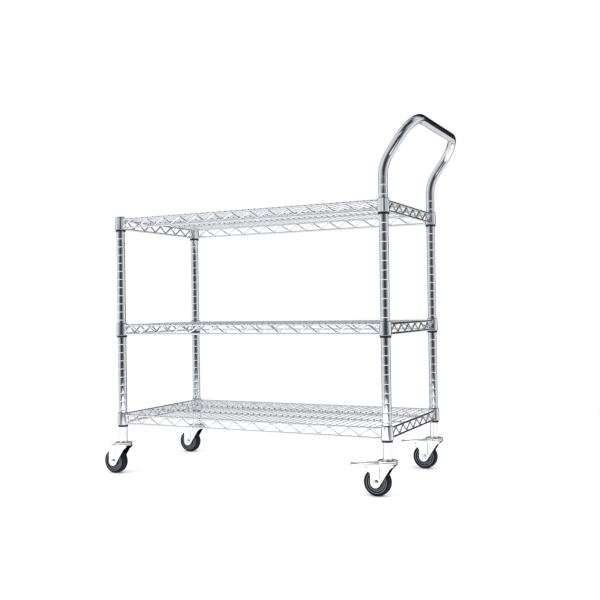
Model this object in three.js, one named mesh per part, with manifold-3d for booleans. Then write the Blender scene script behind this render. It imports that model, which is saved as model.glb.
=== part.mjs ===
// Wire shelf cart: two straight posts and a one-piece handle frame carry three wire shelves on
// split sleeves, and roll on four swivel casters, two of them with a foot brake.
// Millimetres, +Z up. +X points to the push handle, -Y is the front long side, Z = 0 is the floor.
import * as THREE from 'three';
import { mergeVertices } from 'three/addons/utils/BufferGeometryUtils.js';
import Module from 'manifold-3d';

const wasm = await Module();
wasm.setup();

// ---- driving dimensions ----
const POST_SPACING_X = 876;
const POST_SPACING_Y = 418.6;
const TOE_POST_X = -457;
const POST_RADIUS = 12.7;
const POST_WALL = 1.4;
const POST_BOTTOM_Z = 101.5;
const ROUND_SIDES = 10;

const GROOVE_FIRST_Z = 147.8;
const GROOVE_PITCH = 25.4;
const GROOVE_DEPTH = 0.8;
const GROOVE_HALF_HEIGHT = 1.1;
const TOE_POST_GROOVES = 26;
const HANDLE_POST_GROOVES = 28;

const SHELF_BASE_Z = { bottom: 145.5, middle: 424.5, top: 755 };
const SLEEVE_HEIGHT = 45;
const SLEEVE_SPLIT_GAP = 0.8;
const COLLAR_LIFT = 6.5;
const COLLAR_HEIGHT = 37;
const COLLAR_RADIUS = 17;
const BORE_RADIUS_BOTTOM = 15.8;
const BORE_RADIUS_TOP = 14.4;
const SLEEVE_CLEARANCE = 0.4;

const RAIL_LIFT_LOW = 11;
const RAIL_LIFT_HIGH = 37.2;
const RAIL_SIZE = 6;
const TRUSS_THICKNESS = 5;
const TRUSS_OFFSET = 8;
const LONG_TRUSS_PANELS = 28;
const SHORT_TRUSS_PANELS = 13;
const DECK_WIRES = 44;
const DECK_WIRE_WIDTH = 3;
const DECK_LIFT = 37.5;
const DECK_THICKNESS = 3;
const SUPPORT_BAR_Y = [-70, 70];

const HANDLE_BEND_Z = 855.8;
const HANDLE_TILT = THREE.MathUtils.degToRad(35.3);
const HANDLE_LOWER_RADIUS = 107.6;
const HANDLE_SLANT = 118.2;
const HANDLE_CORNER_RADIUS = 72;

const WHEEL_RADIUS = 37.5;
const WHEEL_TRAIL = 29;
const TYRE_WIDTH = 26;
const HUB_RADIUS = 25;
const CHEEK_INNER_Y = 15.4;
const CHEEK_THICKNESS = 2;
const AXLE_RADIUS = 4;
const BRAKE_PIVOT_X = -56;
const BRAKE_PIVOT_Z = 77;
const BRAKE_PIN_RADIUS = 2.2;
const DISC_SIDES = 12;
const TYRE_SIDES = 18;
const BOLT_SIDES = 8;

const HANDLE_POST_X = TOE_POST_X + POST_SPACING_X;
const MID_X = (TOE_POST_X + HANDLE_POST_X) / 2;
const POST_Y = POST_SPACING_Y / 2;
const CORNERS = [
  { name: 'toe_front', x: TOE_POST_X, y: -POST_Y, braked: false },
  { name: 'toe_rear', x: TOE_POST_X, y: POST_Y, braked: false },
  { name: 'handle_front', x: HANDLE_POST_X, y: -POST_Y, braked: true },
  { name: 'handle_rear', x: HANDLE_POST_X, y: POST_Y, braked: true },
];

// ---- materials ----
function makeMaterial(color, roughness, metalness) {
  return new THREE.MeshStandardMaterial({ color, roughness, metalness });
}

const chrome = makeMaterial(0xc9ccd0, 0.12, 1);
const zinc = makeMaterial(0xb9bcc0, 0.32, 1);
const blackPlastic = makeMaterial(0x141416, 0.5, 0);
const greyPlastic = makeMaterial(0x6c7076, 0.5, 0);
const rubber = makeMaterial(0x24262b, 0.75, 0);

// ---- geometry helpers ----
function toSolid(geometry) {
  const bare = geometry.clone();
  bare.deleteAttribute('normal');
  bare.deleteAttribute('uv');
  const welded = mergeVertices(bare, 1e-4);
  const vertProperties = new Float32Array(welded.attributes.position.array);
  const triVerts = new Uint32Array(welded.index.array);
  return new wasm.Manifold(new wasm.Mesh({ numProp: 3, vertProperties, triVerts }));
}

function toMesh(name, solid, material) {
  const data = solid.getMesh();
  const geometry = new THREE.BufferGeometry();
  geometry.setAttribute('position', new THREE.BufferAttribute(data.vertProperties, 3));
  geometry.setIndex(new THREE.BufferAttribute(data.triVerts, 1));
  geometry.computeVertexNormals();
  const mesh = new THREE.Mesh(geometry, material);
  mesh.name = name;
  return mesh;
}

function addAll(solids) {
  return solids.reduce((sum, solid) => sum.add(solid));
}

function subtractAll(solid, cutters) {
  return cutters.reduce((rest, cutter) => rest.subtract(cutter), solid);
}

// A turned solid about the vertical line through x, y. The profile is [radius, z] pairs.
function turnedAboutZ(profile, x, y, sides = ROUND_SIDES) {
  const points = profile.map(([radius, z]) => new THREE.Vector2(radius, z));
  const geometry = new THREE.LatheGeometry(points, sides);
  geometry.rotateX(Math.PI / 2);
  geometry.translate(x, y, 0);
  return toSolid(geometry);
}

// A turned solid about the line along Y through x, z. The profile is [radius, y] pairs.
function turnedAboutY(profile, x, z, sides = ROUND_SIDES) {
  const points = profile.map(([radius, y]) => new THREE.Vector2(radius, y));
  const geometry = new THREE.LatheGeometry(points, sides);
  geometry.translate(x, 0, z);
  return toSolid(geometry);
}

function box(sizeX, sizeY, sizeZ, x, y, z) {
  return toSolid(new THREE.BoxGeometry(sizeX, sizeY, sizeZ).translate(x, y, z));
}

function shapeFrom(points) {
  return new THREE.Shape(points.map(([a, b]) => new THREE.Vector2(a, b)));
}

function extruded(shape, depth) {
  return new THREE.ExtrudeGeometry(shape, { depth, bevelEnabled: false, curveSegments: 3 });
}

// An outline in X and Z pushed along Y from yLow to yHigh.
function plateXZ(shape, yLow, yHigh) {
  const geometry = extruded(shape, yHigh - yLow);
  geometry.rotateX(Math.PI / 2);
  geometry.translate(0, yHigh, 0);
  return toSolid(geometry);
}

// An outline in Y and Z pushed along X from xLow to xHigh.
function plateYZ(shape, xLow, xHigh) {
  const geometry = extruded(shape, xHigh - xLow);
  geometry.rotateX(Math.PI / 2);
  geometry.rotateZ(Math.PI / 2);
  geometry.translate(xLow, 0, 0);
  return toSolid(geometry);
}

// An outline in X and Y pushed up from zLow to zHigh.
function plateXY(shape, zLow, zHigh) {
  return toSolid(extruded(shape, zHigh - zLow).translate(0, 0, zLow));
}

// ---- posts and handle frame ----
// A tube along Z with a V groove cut round it at every pitch.
function groovedTube(x, y, top, count) {
  const bore = POST_RADIUS - POST_WALL;
  const profile = [[bore, POST_BOTTOM_Z], [POST_RADIUS, POST_BOTTOM_Z]];
  for (let i = 0; i < count; i += 1) {
    const z = GROOVE_FIRST_Z + i * GROOVE_PITCH;
    profile.push([POST_RADIUS, z - GROOVE_HALF_HEIGHT]);
    profile.push([POST_RADIUS - GROOVE_DEPTH, z]);
    profile.push([POST_RADIUS, z + GROOVE_HALF_HEIGHT]);
  }
  profile.push([POST_RADIUS, top], [bore, top], [bore, POST_BOTTOM_Z]);
  return turnedAboutZ(profile, x, y);
}

function toePost(y) {
  const top = SHELF_BASE_Z.top + COLLAR_LIFT + COLLAR_HEIGHT;
  return groovedTube(TOE_POST_X, y, top, TOE_POST_GROOVES);
}

function postCap(y) {
  const seat = SHELF_BASE_Z.top + COLLAR_LIFT + COLLAR_HEIGHT + 0.2;
  const plug = POST_RADIUS - POST_WALL - 0.3;
  return turnedAboutZ([
    [0, seat - 12],
    [plug, seat - 12],
    [plug, seat],
    [POST_RADIUS, seat],
    [POST_RADIUS - 0.8, seat + 1.8],
    [POST_RADIUS - 4, seat + 3.2],
    [0, seat + 3.8],
  ], TOE_POST_X, y);
}

// The centre line of the bent tube: straight runs cost one step, bends several.
class TubeLine extends THREE.Curve {
  constructor(stations) {
    super();
    this.stations = stations;
  }

  stationAt(t) {
    return this.stations[Math.round(t * (this.stations.length - 1))];
  }

  getPoint(t) {
    return this.stationAt(t).point.clone();
  }

  getPointAt(t) {
    return this.getPoint(t);
  }

  getTangentAt(t) {
    return this.stationAt(t).tangent.clone();
  }
}

// Stations along an arc that turns the direction `from` into `to`, starting at `start`.
function arcStations(start, from, to, radius, steps) {
  const angle = from.angleTo(to);
  const inward = to.clone().addScaledVector(from, -to.dot(from)).normalize();
  const stations = [];
  for (let i = 0; i <= steps; i += 1) {
    const turn = (angle * i) / steps;
    const point = start.clone()
      .addScaledVector(from, radius * Math.sin(turn))
      .addScaledVector(inward, radius * (1 - Math.cos(turn)));
    const tangent = from.clone().multiplyScalar(Math.cos(turn))
      .addScaledVector(inward, Math.sin(turn)).normalize();
    stations.push({ point, tangent });
  }
  return stations;
}

// The bent part of the handle frame, from the top of the front leg round to the rear leg.
function handleStations() {
  const up = new THREE.Vector3(0, 0, 1);
  const slant = new THREE.Vector3(Math.sin(HANDLE_TILT), 0, Math.cos(HANDLE_TILT));
  const across = new THREE.Vector3(0, 1, 0);
  const lowerStart = new THREE.Vector3(HANDLE_POST_X, -POST_Y, HANDLE_BEND_Z);
  const lowerReach = HANDLE_LOWER_RADIUS * Math.tan(HANDLE_TILT / 2);
  const corner = lowerStart.clone()
    .addScaledVector(up, lowerReach)
    .addScaledVector(slant, lowerReach + HANDLE_SLANT);
  const cornerStart = corner.clone().addScaledVector(slant, -HANDLE_CORNER_RADIUS);
  const front = [
    ...arcStations(lowerStart, up, slant, HANDLE_LOWER_RADIUS, 3),
    ...arcStations(cornerStart, slant, across, HANDLE_CORNER_RADIUS, 5),
  ];
  const rear = front.map(({ point, tangent }) => ({
    point: new THREE.Vector3(point.x, -point.y, point.z),
    tangent: new THREE.Vector3(-tangent.x, tangent.y, -tangent.z),
  }));
  return [...front, ...rear.reverse()];
}

function sweptTube(stations, radius) {
  const circle = [];
  for (let i = 0; i < ROUND_SIDES; i += 1) {
    const angle = (2 * Math.PI * i) / ROUND_SIDES;
    circle.push([radius * Math.cos(angle), radius * Math.sin(angle)]);
  }
  const geometry = new THREE.ExtrudeGeometry(shapeFrom(circle), {
    steps: stations.length - 1,
    bevelEnabled: false,
    extrudePath: new TubeLine(stations),
  });
  return toSolid(geometry);
}

function handleFrame() {
  const stations = handleStations();
  const outside = sweptTube(stations, POST_RADIUS);
  const bow = outside.subtract(sweptTube(stations, POST_RADIUS - POST_WALL));
  const legs = [-POST_Y, POST_Y].map((y) => (
    groovedTube(HANDLE_POST_X, y, HANDLE_BEND_Z, HANDLE_POST_GROOVES)
  ));
  return addAll([bow, ...legs]);
}

// ---- shelves ----
function collarBlank(x, y, base) {
  const low = base + COLLAR_LIFT;
  const high = low + COLLAR_HEIGHT;
  return turnedAboutZ([
    [0, low],
    [COLLAR_RADIUS, low],
    [COLLAR_RADIUS - 0.6, high - 5],
    [COLLAR_RADIUS - 1.4, high],
    [0, high],
  ], x, y);
}

function collarBore(x, y, base) {
  const low = base + COLLAR_LIFT;
  const taper = (BORE_RADIUS_BOTTOM - BORE_RADIUS_TOP) / COLLAR_HEIGHT;
  return turnedAboutZ([
    [0, low - 5],
    [BORE_RADIUS_BOTTOM + 5 * taper, low - 5],
    [BORE_RADIUS_TOP - 5 * taper, low + COLLAR_HEIGHT + 5],
    [0, low + COLLAR_HEIGHT + 5],
  ], x, y);
}

// The triangular openings between the zigzag rods of one truss, as outlines in run and height.
function trussOpenings(runLow, runHigh, panels, base) {
  const step = (runHigh - runLow) / panels;
  const innerLow = base + RAIL_LIFT_LOW + RAIL_SIZE / 2;
  const innerHigh = base + RAIL_LIFT_HIGH - RAIL_SIZE / 2;
  const rise = RAIL_LIFT_HIGH - RAIL_LIFT_LOW;
  const halfBase = (step * (rise - RAIL_SIZE)) / rise;
  const openings = [];
  for (let i = 1; i < panels; i += 1) {
    const run = runLow + i * step;
    const [baseZ, tipZ] = i % 2 === 1 ? [innerHigh, innerLow] : [innerLow, innerHigh];
    openings.push(shapeFrom([[run - halfBase, baseZ], [run + halfBase, baseZ], [run, tipZ]]));
  }
  return openings;
}

// A rail above, a rail below and zigzag rods between: a plate with triangular openings.
function truss(plate, runLow, runHigh, panels, base, across) {
  const low = base + RAIL_LIFT_LOW - RAIL_SIZE / 2;
  const high = base + RAIL_LIFT_HIGH + RAIL_SIZE / 2;
  const half = TRUSS_THICKNESS / 2;
  const outline = shapeFrom([[runLow, low], [runHigh, low], [runHigh, high], [runLow, high]]);
  const openings = trussOpenings(runLow + COLLAR_RADIUS, runHigh - COLLAR_RADIUS, panels, base);
  const cutters = openings.map((shape) => plate(shape, across - half - 1, across + half + 1));
  return subtractAll(plate(outline, across - half, across + half), cutters);
}

function longTruss(side, base) {
  const y = side * (POST_Y + TRUSS_OFFSET);
  return truss(plateXZ, TOE_POST_X, HANDLE_POST_X, LONG_TRUSS_PANELS, base, y);
}

function shortTruss(side, base) {
  const x = MID_X + side * (POST_SPACING_X / 2 + TRUSS_OFFSET);
  return truss(plateYZ, -POST_Y, POST_Y, SHORT_TRUSS_PANELS, base, x);
}

// The deck wires run front to back; their ends lie on the long rails.
function deck(base) {
  const halfX = POST_SPACING_X / 2;
  const edgeX = halfX + TRUSS_OFFSET + 2;
  const edgeY = POST_Y + TRUSS_OFFSET + 2;
  const low = base + DECK_LIFT;
  const outline = shapeFrom([
    [MID_X - halfX, -edgeY], [MID_X + halfX, -edgeY], [MID_X + halfX, -POST_Y],
    [MID_X + edgeX, -POST_Y], [MID_X + edgeX, POST_Y], [MID_X + halfX, POST_Y],
    [MID_X + halfX, edgeY], [MID_X - halfX, edgeY], [MID_X - halfX, POST_Y],
    [MID_X - edgeX, POST_Y], [MID_X - edgeX, -POST_Y], [MID_X - halfX, -POST_Y],
  ]);
  const pitch = (POST_SPACING_X + 2 * TRUSS_OFFSET) / (DECK_WIRES + 1);
  const slots = [];
  for (let i = 0; i <= DECK_WIRES; i += 1) {
    const x = MID_X - halfX - TRUSS_OFFSET + (i + 0.5) * pitch;
    const atCorner = i === 0 || i === DECK_WIRES;
    const reach = atCorner ? POST_Y - 4 : POST_Y + TRUSS_OFFSET - TRUSS_THICKNESS / 2 - 1;
    slots.push(box(pitch - DECK_WIRE_WIDTH, 2 * reach, 20, x, 0, low));
  }
  return subtractAll(plateXY(outline, low, low + DECK_THICKNESS), slots);
}

function supportBar(y, base) {
  const length = POST_SPACING_X + 2 * TRUSS_OFFSET;
  return box(length, 5, 4.6, MID_X, y, base + DECK_LIFT - 0.3 - 2.3);
}

function shelf(base) {
  const welded = addAll([
    deck(base),
    longTruss(-1, base),
    longTruss(1, base),
    shortTruss(-1, base),
    shortTruss(1, base),
    ...SUPPORT_BAR_Y.map((y) => supportBar(y, base)),
    ...CORNERS.map(({ x, y }) => collarBlank(x, y, base)),
  ]);
  return subtractAll(welded, CORNERS.map(({ x, y }) => collarBore(x, y, base)));
}

// One half of the tapered split sleeve that grips a post inside a collar.
function sleeveHalf(x, y, base, side) {
  const taper = (BORE_RADIUS_BOTTOM - BORE_RADIUS_TOP) / COLLAR_HEIGHT;
  const outerAtBase = BORE_RADIUS_BOTTOM - SLEEVE_CLEARANCE + COLLAR_LIFT * taper;
  const outerAtTop = outerAtBase - SLEEVE_HEIGHT * taper;
  const inner = POST_RADIUS + 0.3;
  const ring = turnedAboutZ([
    [inner, base],
    [outerAtBase, base],
    [outerAtTop, base + SLEEVE_HEIGHT],
    [inner, base + SLEEVE_HEIGHT],
    [inner, base],
  ], x, y);
  const depth = 20;
  const offset = side * (depth / 2 + SLEEVE_SPLIT_GAP / 2);
  return ring.intersect(box(depth, 40, 60, x + offset, y, base + SLEEVE_HEIGHT / 2));
}

// ---- casters, drawn with the swivel axis on X = Y = 0 and the wheel trailing to -X ----
function casterStem() {
  return turnedAboutZ([
    [0, 81],
    [8.5, 81],
    [8.5, 84],
    [5, 84.5],
    [5, 93.2],
    [28, 93.6],
    [28, 97.4],
    [12.7, 98.8],
    [12.7, 101.2],
    [10.4, 101.2],
    [10.4, 124],
    [0, 124],
  ], 0, 0, DISC_SIDES);
}

function cheekShape() {
  const shape = new THREE.Shape();
  shape.moveTo(-31, 90.6);
  shape.lineTo(-44, 87.6);
  shape.lineTo(-44, WHEEL_RADIUS);
  shape.absarc(-30, WHEEL_RADIUS, 14, Math.PI, 1.817 * Math.PI, false);
  shape.lineTo(9, 72);
  shape.quadraticCurveTo(13.2, 78.5, 27, 86.2);
  shape.lineTo(27, 90.6);
  shape.closePath();
  return shape;
}

function brakeWingShape() {
  return shapeFrom([[-38, 87], [-38, 62], [-48, 66], [-64, 66], [-71, 69], [-71, 77], [-62, 84.5]]);
}

function crownShape() {
  const shape = new THREE.Shape();
  shape.moveTo(-27, -CHEEK_INNER_Y - 1);
  shape.lineTo(20, -CHEEK_INNER_Y - 1);
  shape.absarc(4, 0, 23, -0.7, 0.7, false);
  shape.lineTo(20, CHEEK_INNER_Y + 1);
  shape.lineTo(-27, CHEEK_INNER_Y + 1);
  shape.closePath();
  return shape;
}

// A cutter along Y that clears both cheeks.
function throughHole(radius, x, z) {
  return turnedAboutY([[0, -20], [radius, -20], [radius, 20], [0, 20]], x, z, BOLT_SIDES);
}

function fork(braked) {
  const pieces = [
    plateXY(crownShape(), 86.8, 90.6),
    turnedAboutZ([[0, 89], [26, 89], [26, 93], [0, 93]], 0, 0, DISC_SIDES),
  ];
  for (const side of [-1, 1]) {
    const inner = side * CHEEK_INNER_Y;
    const outer = side * (CHEEK_INNER_Y + CHEEK_THICKNESS);
    const [low, high] = side < 0 ? [outer, inner] : [inner, outer];
    pieces.push(plateXZ(cheekShape(), low, high));
    if (braked) {
      pieces.push(plateXZ(brakeWingShape(), low, high));
    }
  }
  const holes = [
    turnedAboutZ([[0, 84], [5.5, 84], [5.5, 95], [0, 95]], 0, 0, DISC_SIDES),
    throughHole(AXLE_RADIUS + 0.3, -WHEEL_TRAIL, WHEEL_RADIUS),
  ];
  if (braked) {
    holes.push(throughHole(BRAKE_PIN_RADIUS + 0.3, BRAKE_PIVOT_X, BRAKE_PIVOT_Z));
  }
  return subtractAll(addAll(pieces), holes);
}

function axleBolt(side) {
  const face = CHEEK_INNER_Y + CHEEK_THICKNESS + 0.2;
  const profile = [
    [0, -face - 4],
    [6, -face - 4],
    [9, -face - 1.2],
    [9, -face],
    [AXLE_RADIUS, -face],
    [AXLE_RADIUS, face + 7],
    [0, face + 7],
  ];
  const facing = side < 0 ? profile : profile.map(([radius, y]) => [radius, -y]).reverse();
  return turnedAboutY(facing, -WHEEL_TRAIL, WHEEL_RADIUS, BOLT_SIDES);
}

// A plain nut; its bore clears the bolt by the thread's depth.
function axleNut(side) {
  const face = CHEEK_INNER_Y + CHEEK_THICKNESS + 0.2;
  const bore = AXLE_RADIUS + 0.3;
  const profile = [[bore, face], [8, face], [8, face + 6], [bore, face + 6], [bore, face]];
  const facing = side < 0 ? profile : profile.map(([radius, y]) => [radius, -y]).reverse();
  return turnedAboutY(facing, -WHEEL_TRAIL, WHEEL_RADIUS, BOLT_SIDES);
}

function wheelHub() {
  const face = CHEEK_INNER_Y - 0.6;
  const bore = AXLE_RADIUS + 0.5;
  const rim = HUB_RADIUS - 0.7;
  return turnedAboutY([
    [bore, -face],
    [8.5, -face],
    [12, -10],
    [rim, -10],
    [rim, 10],
    [12, 10],
    [8.5, face],
    [bore, face],
    [bore, -face],
  ], -WHEEL_TRAIL, WHEEL_RADIUS, DISC_SIDES);
}

function tyre() {
  const half = TYRE_WIDTH / 2;
  return turnedAboutY([
    [HUB_RADIUS, -half + 0.5],
    [WHEEL_RADIUS - 4, -half],
    [WHEEL_RADIUS, -half + 5],
    [WHEEL_RADIUS, half - 5],
    [WHEEL_RADIUS - 4, half],
    [HUB_RADIUS, half - 0.5],
    [HUB_RADIUS, -half + 0.5],
  ], -WHEEL_TRAIL, WHEEL_RADIUS, TYRE_SIDES);
}

function brakePin() {
  const face = CHEEK_INNER_Y + CHEEK_THICKNESS + 0.3;
  return turnedAboutY([
    [0, -face - 1.5],
    [3.6, -face - 1.5],
    [3.6, -face],
    [BRAKE_PIN_RADIUS, -face],
    [BRAKE_PIN_RADIUS, face],
    [3.6, face],
    [3.6, face + 1.5],
    [0, face + 1.5],
  ], BRAKE_PIVOT_X, BRAKE_PIVOT_Z, BOLT_SIDES);
}

// The foot plate: a bent strip trimmed to a rounded tip, two ears on the pin and a brake shoe.
function brakePedal() {
  const strip = plateXZ(shapeFrom([
    [-32, 88.2], [-60, 85.6], [-78, 83], [-98, 81], [-107, 82.4],
    [-107, 84.6], [-98, 83.2], [-78, 85.2], [-60, 87.8], [-32, 90.4],
  ]), -20, 20);
  const plan = new THREE.Shape();
  plan.moveTo(-32, -14.6);
  plan.lineTo(-66, -14.6);
  plan.quadraticCurveTo(-74, -9, -84, -12.5);
  plan.quadraticCurveTo(-107, -14, -107, 0);
  plan.quadraticCurveTo(-107, 14, -84, 12.5);
  plan.quadraticCurveTo(-74, 9, -66, 14.6);
  plan.lineTo(-32, 14.6);
  plan.closePath();
  const plate = strip.intersect(plateXY(plan, 70, 95));
  const ear = shapeFrom([[-50, 87], [-50, 73], [-62, 73], [-65, 85.4]]);
  const shoe = plateXZ(shapeFrom([[-60, 86.5], [-59, 64], [-61.5, 62.5], [-63, 86]]), -12, 12);
  const ears = [plateXZ(ear, -14.6, -13.2), plateXZ(ear, 13.2, 14.6)];
  const hole = throughHole(BRAKE_PIN_RADIUS + 0.4, BRAKE_PIVOT_X, BRAKE_PIVOT_Z);
  return addAll([plate, shoe, ...ears]).subtract(hole);
}

function casterMeshes({ name, x, y, braked }) {
  const side = Math.sign(y);
  const pieces = [
    ['caster_stem', casterStem(), zinc],
    ['fork', fork(braked), zinc],
    ['axle_bolt', axleBolt(side), zinc],
    ['axle_nut', axleNut(side), zinc],
    ['wheel_hub', wheelHub(), greyPlastic],
    ['tyre', tyre(), rubber],
  ];
  if (braked) {
    pieces.push(['brake_pin', brakePin(), zinc]);
    pieces.push(['brake_pedal', brakePedal(), zinc]);
  }
  return pieces.map(([part, solid, material]) => (
    toMesh(`${name}_${part}`, solid.translate([x, y, 0]), material)
  ));
}

// ---- assembly ----
const cart = new THREE.Group();
cart.name = 'wire_shelf_cart';

cart.add(toMesh('toe_front_post', toePost(-POST_Y), chrome));
cart.add(toMesh('toe_rear_post', toePost(POST_Y), chrome));
cart.add(toMesh('handle_frame', handleFrame(), chrome));
cart.add(toMesh('toe_front_post_cap', postCap(-POST_Y), chrome));
cart.add(toMesh('toe_rear_post_cap', postCap(POST_Y), chrome));

for (const [level, base] of Object.entries(SHELF_BASE_Z)) {
  cart.add(toMesh(`${level}_shelf`, shelf(base), chrome));
  for (const { name, x, y } of CORNERS) {
    cart.add(toMesh(`${level}_${name}_sleeve_a`, sleeveHalf(x, y, base, -1), blackPlastic));
    cart.add(toMesh(`${level}_${name}_sleeve_b`, sleeveHalf(x, y, base, 1), blackPlastic));
  }
}

for (const corner of CORNERS) {
  cart.add(...casterMeshes(corner));
}

export default cart;
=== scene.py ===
import math

import bmesh
import bpy
from mathutils import Matrix, Vector


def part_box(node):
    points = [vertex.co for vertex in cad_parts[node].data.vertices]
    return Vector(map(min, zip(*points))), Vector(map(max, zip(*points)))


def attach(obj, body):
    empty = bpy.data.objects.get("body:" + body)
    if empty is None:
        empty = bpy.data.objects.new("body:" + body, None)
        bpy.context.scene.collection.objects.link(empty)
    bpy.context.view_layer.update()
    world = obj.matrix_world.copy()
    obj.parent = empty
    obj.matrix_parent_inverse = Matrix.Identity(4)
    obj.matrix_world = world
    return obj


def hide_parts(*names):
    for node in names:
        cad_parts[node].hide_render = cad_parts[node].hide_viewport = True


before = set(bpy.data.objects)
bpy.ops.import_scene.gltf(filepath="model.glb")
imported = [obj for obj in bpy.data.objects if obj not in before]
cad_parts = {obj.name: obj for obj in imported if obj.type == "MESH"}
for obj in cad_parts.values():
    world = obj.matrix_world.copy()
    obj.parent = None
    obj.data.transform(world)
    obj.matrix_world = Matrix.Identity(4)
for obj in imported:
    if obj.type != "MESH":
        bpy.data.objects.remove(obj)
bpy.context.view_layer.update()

MM = 0.001
TAU = 2 * math.pi
CORNERS = ("toe_front", "toe_rear", "handle_front", "handle_rear")
LEVELS = ("bottom", "middle", "top")
SMOOTH_ANGLE = math.radians(35)

# ---- posts and handle, mm ----
POST_SIDES = 48
POST_WALL = 1.4
GROOVE_FIRST_Z = 147.8
GROOVE_PITCH = 25.4
GROOVE_DEPTH = 0.8
GROOVE_HALF_HEIGHT = 1.5
GROOVE_STEPS = 6
TOE_GROOVES = 26
HANDLE_GROOVES = 28
HANDLE_BEND_Z = 855.8
HANDLE_TILT = math.radians(35.3)
HANDLE_LOWER_RADIUS = 107.6
HANDLE_SLANT = 118.2
HANDLE_CORNER_RADIUS = 72

# ---- shelves, mm above the foot of the sleeves ----
COLLAR_LOW = 6.5
COLLAR_HIGH = 43.5
COLLAR_RADIUS = 17
BORE_LOW = 15.8
BORE_HIGH = 14.4
SLEEVE_CLEARANCE = 0.4
SLEEVE_INNER = 13.0
SLEEVE_HEIGHT = 45
SLEEVE_GAP = 0.8
RAIL_LOW = 11
RAIL_HIGH = 37.2
RAIL_RADIUS = 3.0
ZIGZAG_RADIUS = 2.2
TRUSS_OFFSET = 8
LONG_PANELS = 28
SHORT_PANELS = 13
DECK_WIRES = 44
DECK_WIRE_RADIUS = 1.35
DECK_Z = 39
SUPPORT_Y = (-70, 70)
SUPPORT_RADIUS = 2.3
WIRE_END = 3.4
# lengths of the painted contact shadow on the deck wires: half its length at each bar, its length
# at each end, and its fade
WELD_HALF = 2.8
CUT_END = 1.2
SHADOW_FADE = 0.8

# ---- casters, mm from the swivel axis on the floor; the wheel trails to -X ----
WHEEL_X = -29
WHEEL_Z = 37.5
CHEEK_INNER = 15.4
CHEEK_OUTER = 17.4
CROWN_TOP = 90.6
AXLE_RADIUS = 4
KING_HOLE_RADIUS = 5.6
CREASE_X = -17
CREASE_SIZE = 1.2
CREASE_SPAN = (46, 82)
BRAKE_X = -56
BRAKE_Z = 77
BRAKE_PIN_RADIUS = 2.2
HUB_RINGS = (18.5, 22.8)
TYRE_RING = 28.5

# ---- camera and floor, m; the floor's sides are left and right of the line of sight ----
CAMERA_PLACE = (1.2058, -2.3323, 0.5087)
CAMERA_YAW = math.radians(26.10)
CAMERA_PITCH = math.radians(0.52)
CAMERA_ROLL = math.radians(-0.915)
CAMERA_LENS = 50.49
FLOOR_FRONT = 2.7
FLOOR_BACK = 1.1
FLOOR_FRONT_SIDE = (-0.9, 0.6)
FLOOR_BACK_SIDE = (-2.2, 1.9)


# ---- gathering points and faces ----
class Skin:
    """Points in millimetres and faces, gathered before they become one mesh."""

    def __init__(self):
        self.points = []
        self.faces = []

    def rings(self, rings, loop=False):
        """Skins a row of rings. loop joins the last ring to the first, else the ends are capped."""
        start = len(self.points)
        sides = len(rings[0])
        count = len(rings)
        for ring in rings:
            self.points.extend(Vector(point) for point in ring)
        for i in range(count if loop else count - 1):
            here = start + i * sides
            after = start + ((i + 1) % count) * sides
            for j in range(sides):
                k = (j + 1) % sides
                self.faces.append((here + j, here + k, after + k, after + j))
        if not loop:
            last = start + (count - 1) * sides
            self.faces.append(tuple(start + j for j in reversed(range(sides))))
            self.faces.append(tuple(last + j for j in range(sides)))

    def prism(self, outline, low, high, place):
        """An outline of (a, b) pairs pushed from low to high; place(a, b, depth) gives a point."""
        self.rings([[place(a, b, depth) for a, b in outline] for depth in (low, high)])

    def revolve(self, profile, place, sides, arc=None):
        """A closed profile of (radius, height) pairs turned all the way round, or through arc."""
        start, end = arc or (0, TAU)
        steps = sides if arc is None else sides + 1
        rings = []
        for i in range(steps):
            angle = start + (end - start) * i / sides
            rings.append([place(radius, angle, height) for radius, height in profile])
        self.rings(rings, loop=arc is None)

    def sweep(self, path, radii, sides):
        """A round bar along a path, with one radius for each point of the path."""
        self.rings(sweep_rings(path, radii, sides))


def sweep_rings(path, radii, sides):
    points = [Vector(point) for point in path]
    count = len(points)
    tangents = []
    for i in range(count):
        before = points[max(i - 1, 0)]
        after = points[min(i + 1, count - 1)]
        tangents.append((after - before).normalized())
    side = tangents[0].orthogonal().normalized()
    rings = []
    for i, point in enumerate(points):
        if i:
            side = tangents[i - 1].rotation_difference(tangents[i]) @ side
        side = (side - tangents[i] * side.dot(tangents[i])).normalized()
        across = tangents[i].cross(side)
        ring = []
        for j in range(sides):
            angle = TAU * j / sides
            ring.append(point + (side * math.cos(angle) + across * math.sin(angle)) * radii[i])
        rings.append(ring)
    return rings


def about_z(x, y):
    return lambda radius, angle, height: (
        x + radius * math.cos(angle),
        y + radius * math.sin(angle),
        height,
    )


def about_y(x, z):
    return lambda radius, angle, height: (
        x + radius * math.cos(angle),
        height,
        z + radius * math.sin(angle),
    )


def xz_plane(a, b, depth):
    return (a, depth, b)


def xy_plane(a, b, depth):
    return (a, b, depth)


def yz_plane(a, b, depth):
    return (depth, a, b)


def arc_points(x, y, radius, start, end, steps):
    """Points on an arc, angles in degrees."""
    points = []
    for i in range(steps + 1):
        angle = math.radians(start + (end - start) * i / steps)
        points.append((x + radius * math.cos(angle), y + radius * math.sin(angle)))
    return points


def curve_points(start, control, end, steps):
    """Points on a quadratic curve, without its first point."""
    points = []
    for i in range(1, steps + 1):
        t = i / steps
        a = (1 - t) ** 2
        b = 2 * t * (1 - t)
        c = t * t
        points.append(tuple(a * s + b * m + c * e for s, m, e in zip(start, control, end)))
    return points


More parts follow.
